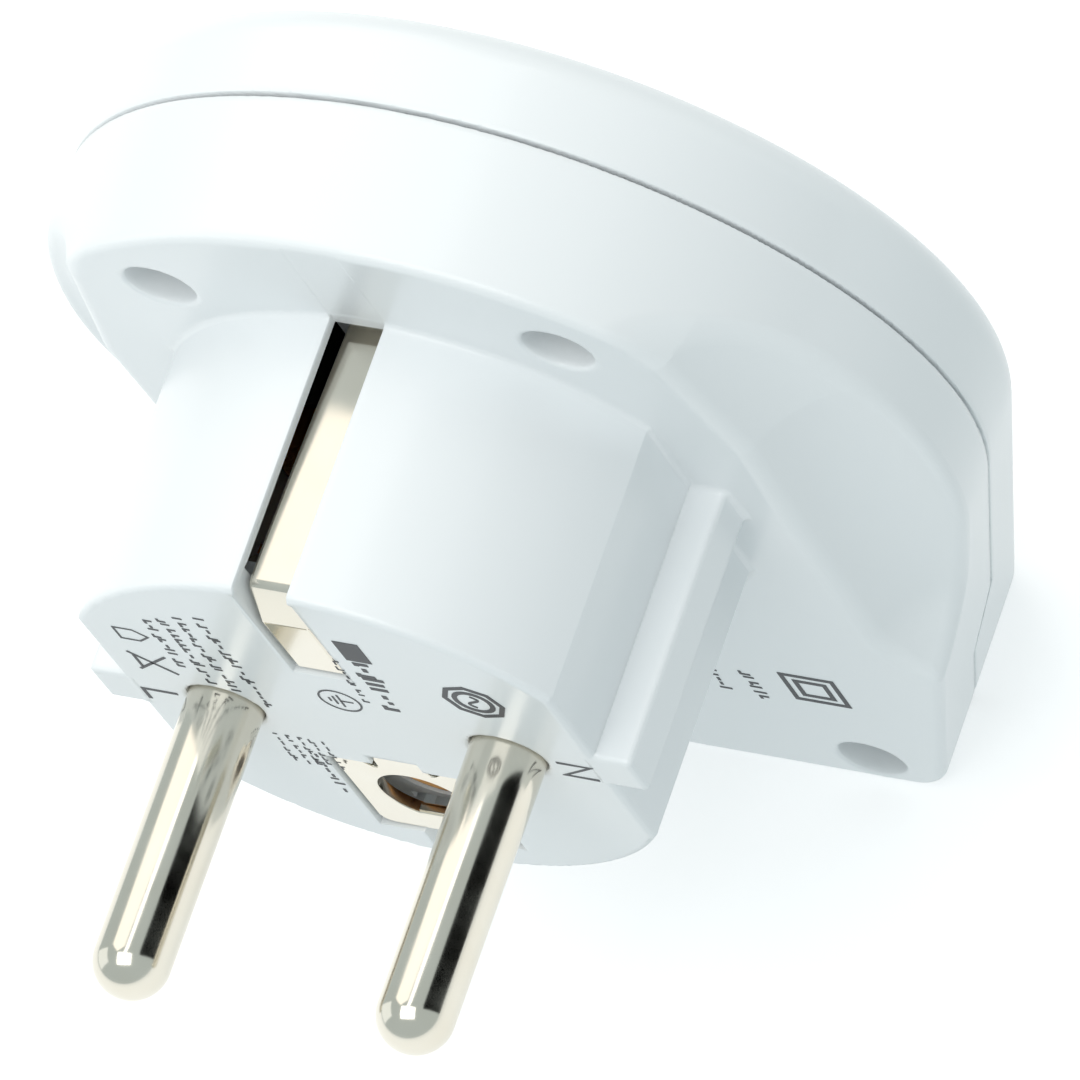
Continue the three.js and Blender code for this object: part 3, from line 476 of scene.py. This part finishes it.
def plated(name, colour, roughness, along=(1, 1, 1), depth=0.002):
    """Plated or rolled metal: fine drawn lines along one direction and slight patches of dullness."""
    made, nodes, links, shader = material(name)
    shader.inputs["Metallic"].default_value = 1.0
    place = nodes.new("ShaderNodeTexCoord")
    stretch = nodes.new("ShaderNodeMapping")
    stretch.inputs["Scale"].default_value = along
    lines = nodes.new("ShaderNodeTexNoise")
    lines.inputs["Scale"].default_value = 5200
    lines.inputs["Detail"].default_value = 3
    links.new(place.outputs["Object"], stretch.inputs["Vector"])
    links.new(stretch.outputs["Vector"], lines.inputs["Vector"])
    patches = noise(nodes, links, 320, 5)
    warm = tuple(c * f for c, f in zip(colour, (0.93, 0.9, 0.85)))
    links.new(tint(nodes, links, patches, warm, colour), shader.inputs["Base Color"])
    links.new(spread(nodes, links, patches, roughness * 0.75, roughness * 1.4), shader.inputs["Roughness"])
    bump(nodes, links, shader, lines.outputs["Fac"], 0.3, depth)
    return made


MATERIALS = {
    "shell": moulded("white_abs", (0.9, 0.915, 0.925), 0.3, coat=0.15),
    "shutter": moulded("shutter_white", (0.84, 0.85, 0.86), 0.42),
    "carrier": moulded("carrier_grey", (0.045, 0.048, 0.052), 0.5),
    "retainer": moulded("nylon", (0.74, 0.7, 0.6), 0.5),
    "barrier": moulded("fish_paper", (0.78, 0.72, 0.54), 0.65, grain=2500, change=0.1),
    "nickel": plated("nickel", (0.74, 0.71, 0.635), 0.13, along=(1, 0.06, 1)),
    "bronze": plated("bronze", (0.62, 0.32, 0.13), 0.28),
    "steel": plated("zinc_steel", (0.66, 0.67, 0.68), 0.27),
    "board": moulded("solder_mask", (0.012, 0.13, 0.045), 0.35, grain=3500, change=0.25),
    "black": moulded("epoxy_black", (0.016, 0.017, 0.018), 0.45),
    "ferrite": moulded("ferrite", (0.04, 0.04, 0.043), 0.75, depth=0.02, grain=5000, change=0.2),
    "tape": moulded("winding_tape", (0.72, 0.45, 0.04), 0.32, change=0.08),
    "sleeve": moulded("shrink_sleeve", (0.015, 0.03, 0.09), 0.3),
    "ceramic": moulded("ceramic_coat", (0.02, 0.14, 0.42), 0.4, change=0.12),
    "resistor": moulded("flameproof_coat", (0.2, 0.35, 0.26), 0.5, change=0.15),
    "brown_lead": moulded("lead_brown", (0.14, 0.045, 0.014), 0.38),
    "blue_lead": moulded("lead_blue", (0.012, 0.07, 0.33), 0.38),
}
INK = moulded("grey_ink", (0.05, 0.053, 0.06), 0.5)


def dress(obj, slot):
    obj.data.materials.clear()
    obj.data.materials.append(MATERIALS[slot])
    return obj


def piece(obj, slot, body="housing", replaces=()):
    dress(obj, slot)
    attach(obj, body)
    if replaces:
        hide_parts(*replaces)
    return obj


# ---------------------------------------------------------------- shells
def build_shells():
    spare = 0.8
    limit = HEAD_RADIUS + spare
    low = (-limit, PART_Y - spare, HEAD_END_Z - spare)
    rear = field_object("rear_shell", rear_housing, low, (limit, spare, TOP_Z))
    piece(rear, "shell", replaces=["rear_housing"])
    low = (-limit, FRONT_Y - spare, HEAD_END_Z - spare)
    cover = field_object("front_shell", front_cover, low, (limit, PART_END_Y + 3 * spare, TOP_Z))
    piece(cover, "shell", replaces=["front_cover"])


# ---------------------------------------------------------------- plug
def build_pins():
    for name, side in (("line_pin", 1), ("neutral_pin", -1)):
        tip = [(PIN_RADIUS * math.sin(a), PIN_LENGTH - PIN_RADIUS * (1 - math.cos(a)))
               for a in (math.pi / 2 * (1 - i / 20) for i in range(1, 20))]
        tail = [(0, -9.3), (1.6, -9.3), (1.8, -9.1), (1.8, -3.4)]
        flange = [(3.3, -3.4), (3.4, -3.3), (3.4, -2.2), (3.3, -2.1)]
        shank = [(PIN_RADIUS, y) for y in (-2.1, 1.0, 8.0, PIN_LENGTH - PIN_RADIUS)]
        profile = tail + flange + shank + tip + [(0, PIN_LENGTH)]
        pin = lathe(name + "_fine", profile, side * PIN_X, 0)
        face_outwards(pin)
        piece(pin, "nickel", replaces=[name])


STRIP_RISE = [(STRIP_REAR_Y, 16.3), (-14.0, 16.55), (-9.0, 16.8), (-5.0, 16.95), (-2.4, 17.0), (-1.7, 17.0)]


def clip_outline(sign, face_end):
    """A side earth clip from the side: it rises along its slot, slants over the edge and lies in the face."""
    t = STRIP_THICK
    crest = arc((-1.7, 16.3), 0.7, 90, 33, 5)[1:]
    under_z = STRIP_RISE[0][1] - t
    bend = arc((STRIP_FACE_Y - 0.5, STRIP_BEND_Z + 0.15), 0.5, 28, 0, 4)
    under = [(y, z - t) for y, z in reversed(STRIP_RISE[1:-1])]
    outer = STRIP_RISE + crest + bend + [(STRIP_FACE_Y, face_end), (STRIP_FACE_Y - t, face_end)]
    inner = [(STRIP_FACE_Y - t, STRIP_BEND_Z - 0.1)] + under
    hook_front = STRIP_TAIL_Y + t
    hook = [(hook_front, under_z), (hook_front, CAVITY_TAIL_Z), (STRIP_TAIL_Y, CAVITY_TAIL_Z)]
    hook.append((STRIP_TAIL_Y, under_z))
    return [(y, sign * z) for y, z in outer + inner + hook + [(STRIP_REAR_Y, under_z)]]


def plate_outline():
    """The lower clip's face plate as (x, z): a tab at the top with a notch on each side, and cut corners."""
    half, top, low = WINDOW_HALF - 0.25, WINDOW_TOP_Z - 0.2, WINDOW_LOW_Z + 0.25
    tab, tab_top = NOTCH_HALF - 0.1, NOTCH_Z - 0.2
    notch_z = top - 0.75
    side = [(tab, tab_top), (tab + 0.1, notch_z), (tab + 0.55, notch_z), (tab + 0.7, top)]
    side += [(half - 0.3, top), (half, top - 0.3), (half, low + 0.5), (half - 0.65, low)]
    return [(x, z) for x, z in side] + [(-x, z) for x, z in reversed(side)]


def perforated(name, outline_xz, centre, radius, y0, y1):
    """A plate between y0 and y1 with a round hole. Its (x, z) outline starts on the +X side."""
    steps = 96
    rim, ring = [], []
    for i in range(steps):
        a = 2 * math.pi * i / steps
        way = np.array([math.cos(a), math.sin(a)])
        ring.append(np.array(centre) + radius * way)
        reach = 1e9
        for p, q in zip(outline_xz, outline_xz[1:] + outline_xz[:1]):
            p, q = np.array(p), np.array(q)
            edge = q - p
            cross = way[0] * edge[1] - way[1] * edge[0]
            if abs(cross) < 1e-9:
                continue
            away = p - centre
            along = (away[0] * edge[1] - away[1] * edge[0]) / cross
            share = (away[0] * way[1] - away[1] * way[0]) / cross
            if along > 0 and -1e-9 <= share <= 1 + 1e-9:
                reach = min(reach, along)
        rim.append(np.array(centre) + reach * way)
    vertices = [(u, y, v) for y in (y1, y0) for loop in (rim, ring) for u, v in loop]
    faces = []
    for i in range(steps):
        j = (i + 1) % steps
        faces.append((i, j, steps + j, steps + i))
        faces.append((2 * steps + i, 3 * steps + i, 3 * steps + j, 2 * steps + j))
        faces.append((i, 2 * steps + i, 2 * steps + j, j))
        faces.append((steps + i, steps + j, 3 * steps + j, 3 * steps + i))
    plate = object_from(name, vertices, faces)
    face_outwards(plate)
    return plate


def build_clips():
    for name, sign, face_end in (("upper", 1, SLOT_FACE_Z + GAP), ("lower", -1, STRIP_BEND_Z - 1)):
        clip = extruded_x(f"{name}_clip_fine", clip_outline(sign, face_end), STRIP_HALF)
        bevelled(clip, 0.25, 4)
        piece(clip, "nickel", replaces=[f"{name}_earth_clip"])
    y0, y1 = STRIP_FACE_Y - STRIP_THICK, STRIP_FACE_Y + 0.002
    plate = perforated("earth_plate_fine", plate_outline(), (0.0, HOLE_Z), HOLE_RADIUS, y0, y1)
    bevelled(plate, 0.1)
    piece(plate, "nickel")


def build_sleeve():
    mouth = -FACE_DEPTH - 0.1
    profile = [(HOLE_RADIUS, SLEEVE_END_Y), (SLEEVE_RADIUS, SLEEVE_END_Y), (SLEEVE_RADIUS, mouth - 0.2)]
    profile += [(SLEEVE_RADIUS - 0.2, mouth), (HOLE_RADIUS + 0.15, mouth), (HOLE_RADIUS, mouth - 0.15)]
    profile += [(HOLE_RADIUS, SLEEVE_END_Y)]
    sleeve = lathe("earth_sleeve_fine", profile, 0, HOLE_Z)
    face_outwards(sleeve)
    piece(sleeve, "bronze", replaces=["earth_pin_sleeve"])


# ---------------------------------------------------------------- shutter spring
def build_spring():
    low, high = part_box("shutter_spring")
    low, high = np.array(low) / MM, np.array(high) / MM
    wire, turns, sides, per_turn = 0.225, 8, 10, 28
    radius = (high[0] - low[0]) / 2 - wire
    centre_y = (low[1] + high[1]) / 2
    vertices, faces = [], []
    steps = turns * per_turn
    for i in range(steps + 1):
        a = 2 * math.pi * i / per_turn
        z = high[2] - wire - (high[2] - low[2] - 2 * wire) * i / steps
        middle = Vector((radius * math.cos(a), centre_y + radius * math.sin(a), z))
        outwards = Vector((math.cos(a), math.sin(a), 0))
        for k in range(sides):
            b = 2 * math.pi * k / sides
            vertices.append(middle + wire * (math.cos(b) * outwards + math.sin(b) * Vector((0, 0, 1))))
    for i in range(steps):
        for k in range(sides):
            a, b = i * sides + k, i * sides + (k + 1) % sides
            faces.append((a, b, b + sides, a + sides))
    faces += [tuple(range(sides)), tuple(reversed(range(steps * sides, (steps + 1) * sides)))]
    spring = object_from("shutter_spring_fine", vertices, faces)
    face_outwards(spring)
    smooth(spring, 50)
    piece(spring, "steel", replaces=["shutter_spring"])
    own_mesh(spring)


# ---------------------------------------------------------------- CAD nodes that keep their shape
def dress_cad_nodes():
    slots = {part["node"]: part["material_slot"] for part in frame["record"]["subparts"]}
    for node, obj in NODES.items():
        if obj.hide_render:
            continue
        dress(obj, slots[node])
        bevelled(obj, 0.06, 2, 40)


# ---------------------------------------------------------------- printed marks
def ribbon(points, width, closed=False):
    """A flat mitred stroke along (u, v) points, as left and right edge points."""
    count = len(points)
    left, right = [], []
    for i, point in enumerate(points):
        before = points[i - 1] if (closed or i > 0) else point
        after = points[(i + 1) % count] if (closed or i < count - 1) else point
        d0 = np.array(point) - before
        d1 = np.array(after) - point
        d0 = d0 / np.linalg.norm(d0) if np.linalg.norm(d0) > 1e-9 else d1 / np.linalg.norm(d1)
        d1 = d1 / np.linalg.norm(d1) if np.linalg.norm(d1) > 1e-9 else d0
        across = np.array([-(d0 + d1)[1], (d0 + d1)[0]])
        across /= np.linalg.norm(across)
        reach = width / 2 / max(0.5, float(np.dot(across, [-d0[1], d0[0]])))
        left.append(np.array(point) + across * reach)
        right.append(np.array(point) - across * reach)
    return left, right


def printed(name, strokes, origin, right, up, width):
    """Ink strokes on a plane: origin and the two directions are in the row frame, millimetres."""
    origin, right, up = Vector(origin), Vector(right), Vector(up)
    out = right.cross(up).normalized()
    base, top = 0.004, 0.03
    vertices, faces = [], []
    for points, closed in strokes:
        edges = ribbon(points, width, closed)
        first = len(vertices)
        count = len(points)
        for height in (base, top):
            for edge in edges:
                vertices += [origin + right * float(u) + up * float(v) + out * height for u, v in edge]
        row = lambda k, i: first + k * count + i % count
        spans = count if closed else count - 1
        for i in range(spans):
            faces.append((row(2, i), row(2, i + 1), row(3, i + 1), row(3, i)))
            faces.append((row(0, i), row(1, i), row(1, i + 1), row(0, i + 1)))
            faces.append((row(0, i), row(0, i + 1), row(2, i + 1), row(2, i)))
            faces.append((row(1, i), row(3, i), row(3, i + 1), row(1, i + 1)))
        if not closed:
            faces.append((row(0, 0), row(2, 0), row(3, 0), row(1, 0)))
            faces.append((row(0, count - 1), row(1, count - 1), row(3, count - 1), row(2, count - 1)))
    mark = object_from(name, vertices, faces)
    face_outwards(mark)
    mark.data.materials.append(INK)
    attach(mark, "housing")
    return mark


def circle(centre, radius, steps=40):
    return arc(centre, radius, 0, 360 - 360 / steps, steps - 1)


def dashes(rng, length, height):
    """One line of unreadable print: short upright and level strokes of uneven length."""
    strokes, at = [], 0.0
    while at < length:
        wide = rng.uniform(0.28, 0.5)
        tall = height * rng.uniform(0.7, 1.0)
        kind = rng.integers(4)
        if kind == 0:
            strokes.append(([(at, 0), (at, tall)], False))
        elif kind == 1:
            strokes.append(([(at, 0), (at + wide, 0), (at + wide, tall * 0.8)], False))
        elif kind == 2:
            strokes.append(([(at, tall), (at, 0.3 * tall), (at + wide, 0.3 * tall)], False))
        else:
            strokes.append(([(at, tall * 0.5), (at + wide, tall * 0.5)], False))
        at += wide + rng.uniform(0.2, 0.42)
    return strokes


def build_marks():
    """Generic marks only: pole letters, protective earth, nested squares, plain shapes, rows of strokes."""
    face_right, face_up = (0, 0, -1), (-1, 0, 0)
    letter_l = [([(0, 2.4), (0, 0), (1.4, 0)], False)]
    letter_n = [([(0, 0), (0, 2.25), (1.7, 0), (1.7, 2.25)], False)]
    printed("mark_l", letter_l, (15.0, 0, 0.4), face_right, face_up, 0.26)
    printed("mark_n", letter_n, (-12.8, 0, 0.3), face_right, face_up, 0.26)
    earth = [(circle((0, 0), 1.35), True), ([(0, 0.9), (0, 0.05)], False)]
    earth += [([(-half, v), (half, v)], False) for half, v in ((0.8, 0.05), (0.52, -0.32), (0.24, -0.66))]
    printed("mark_earth", earth, (0.16, 0, 4.05), face_right, face_up, 0.13)
    house = [([(0, 0), (0, 1.3), (0.75, 2.1), (1.5, 1.3), (1.5, 0)], True)]
    printed("mark_house", house, (13.3, 0, 9.5), face_right, face_up, 0.14)
    crossed = [([(0, 0), (2.4, 2.6)], False), ([(0, 2.6), (2.4, 0)], False)]
    crossed.append(([(0.4, 0.3), (2.0, 0.3)], False))
    printed("mark_cross", crossed, (13.8, 0, 6.0), face_right, face_up, 0.2)
    rng = np.random.default_rng(7)
    rows = [(10.6, 11.4, 6.6), (9.3, 12.0, 8.6), (8.0, 12.6, 10.4), (6.4, 13.1, 12.0)]
    for index, (x, z, length) in enumerate(rows):
        printed(f"print_line_{index + 1}", dashes(rng, length, 0.75), (x, 0, z), face_right, face_up, 0.17)
    block_mark = [([(0, 0.9), (2.6, 0.9)], False)]
    printed("print_block", block_mark, (-2.9, 0, 13.4), face_right, face_up, 1.7)
    printed("print_bold", dashes(rng, 6.6, 1.5), (-3.0, 0, 10.4), face_right, face_up, 0.34)
    printed("print_sub", dashes(rng, 5.6, 0.5), (-1.7, 0, 10.2), face_right, face_up, 0.13)
    ring = [(circle((0, 0), 1.9, 8), True), (circle((0, 0), 1.2, 24), True)]
    printed("mark_ring", ring, (-10.1, 0, 7.6), face_right, face_up, 0.34)
    wave = [([(0.75 * (u - 0.5) * 2, 0.4 * math.sin(2 * math.pi * u)) for u in np.linspace(0, 1, 13)], False)]
    printed("mark_wave", wave, (-10.1, 0, 7.6), face_right, face_up, 0.2)
    for index in range(5):
        place = (7.6 - 0.8 * index, 0, -3.2)
        printed(f"print_small_{index + 1}", dashes(rng, 3.6, 0.4), place, face_right, face_up, 0.12)
    printed("print_side", dashes(rng, 5.6, 0.75), (5.9, 0, -5.4), face_right, face_up, 0.18)
    squares = [([(-h, -h), (h, -h), (h, h), (-h, h)], True) for h in (1.75, 1.0)]
    printed("mark_squares", squares, (-13.8, REAR_Y, -27.3), face_right, face_up, 0.34)
    printed("print_rating_1", dashes(rng, 3.4, 0.9), (-6.6, REAR_Y, -26.4), face_right, face_up, 0.2)
    printed("print_rating_2", dashes(rng, 4.0, 0.9), (-9.0, REAR_Y, -26.2), face_right, face_up, 0.2)


# ---------------------------------------------------------------- stage, light and camera
def build_stage():
    floor_z = CAD_BOX[0][2]
    size = 4.0
    corners = [(-size, -size), (size, -size), (size, size), (-size, size)]
    mesh = bpy.data.meshes.new("floor")
    mesh.from_pydata([(x, y, floor_z - 0.0002) for x, y in corners], [], [(0, 1, 2, 3)])
    floor = bpy.data.objects.new("floor", mesh)
    SCENE.collection.objects.link(floor)
    made, nodes, links, shader = material("floor_white")
    shader.inputs["Base Color"].default_value = (0.8, 0.8, 0.8, 1)
    shader.inputs["Roughness"].default_value = 0.8
    shader.inputs["Emission Color"].default_value = (1, 1, 1, 1)
    shader.inputs["Emission Strength"].default_value = 0.42
    mesh.materials.append(made)
    floor.visible_diffuse = False


def aim(obj, position, target, roll=0.0):
    """Places obj at position, looking at target, with its top turned clockwise by roll."""
    position, target = Vector(position) * MM, Vector(target) * MM
    look = (target - position).normalized()
    turn = look.to_track_quat("-Z", "Y").to_matrix()
    obj.matrix_world = Matrix.Translation(position) @ (turn @ Matrix.Rotation(roll, 3, "Z")).to_4x4()


CAMERA_AT = (-311.5, 223.8, 585.5)
CAMERA_LOOK = (-7.4, -13.3, 1.4)
CAMERA_ROLL = math.radians(-37.3)
CAMERA_LENS = 393.3


def build_camera():
    data = bpy.data.cameras.new("camera")
    data.lens = CAMERA_LENS
    data.sensor_width = 36
    data.clip_end = 10
    camera = bpy.data.objects.new("camera", data)
    SCENE.collection.objects.link(camera)
    aim(camera, CAMERA_AT, CAMERA_LOOK, CAMERA_ROLL)
    SCENE.camera = camera


def area_light(name, position, target, width, height, power, colour=(1, 1, 1)):
    data = bpy.data.lights.new(name, "AREA")
    data.shape = "RECTANGLE"
    data.size, data.size_y = width * MM, height * MM
    data.energy = power
    data.color = colour
    lamp = bpy.data.objects.new(name, data)
    SCENE.collection.objects.link(lamp)
    aim(lamp, position, target)


def card(name, direction, distance, width, height, strength, colour=(1, 1, 1)):
    """A plane out of the picture, facing the object, seen only in reflections and as light."""
    across, along = width / 2 * MM, height / 2 * MM
    mesh = bpy.data.meshes.new(name)
    corners = [(-across, -along, 0), (across, -along, 0), (across, along, 0), (-across, along, 0)]
    mesh.from_pydata(corners, [], [(0, 1, 2, 3)])
    plane = bpy.data.objects.new(name, mesh)
    SCENE.collection.objects.link(plane)
    place = Vector(direction).normalized() * distance
    aim(plane, place, (0, -10, 0))
    made, nodes, links, shader = material(name)
    shader.inputs["Base Color"].default_value = (0, 0, 0, 1)
    shader.inputs["Specular IOR Level"].default_value = 0
    shader.inputs["Emission Color"].default_value = (*colour, 1)
    shader.inputs["Emission Strength"].default_value = strength
    mesh.materials.append(made)
    plane.visible_camera = False
    plane.visible_shadow = False


def build_light():
    world = bpy.data.worlds.new("studio")
    SCENE.world = world
    world.use_nodes = True
    back = world.node_tree.nodes["Background"]
    back.inputs["Color"].default_value = (0.87, 0.98, 1.0, 1)
    back.inputs["Strength"].default_value = 0.66
    area_light("key", (-30, 250, 770), (0, -15, 0), 600, 500, 2.2, (1, 0.985, 0.97))
    area_light("side", (720, 160, 260), (0, -15, 0), 500, 500, 0.45)
    card("clip_card", (0.43, -0.47, 0.77), 450, 330, 420, 1.6, (1, 0.98, 0.93))
    card("pin_strip", (-0.03, -0.32, 0.95), 450, 70, 420, 2.2)
    card("pin_dark", (-0.91, -0.32, 0.43), 450, 150, 420, 0.0)
    SCENE.view_settings.view_transform = "Standard"


build_camera()
build_light()
build_stage()
build_shells()
build_pins()
build_clips()
build_sleeve()
build_spring()
dress_cad_nodes()
build_marks()
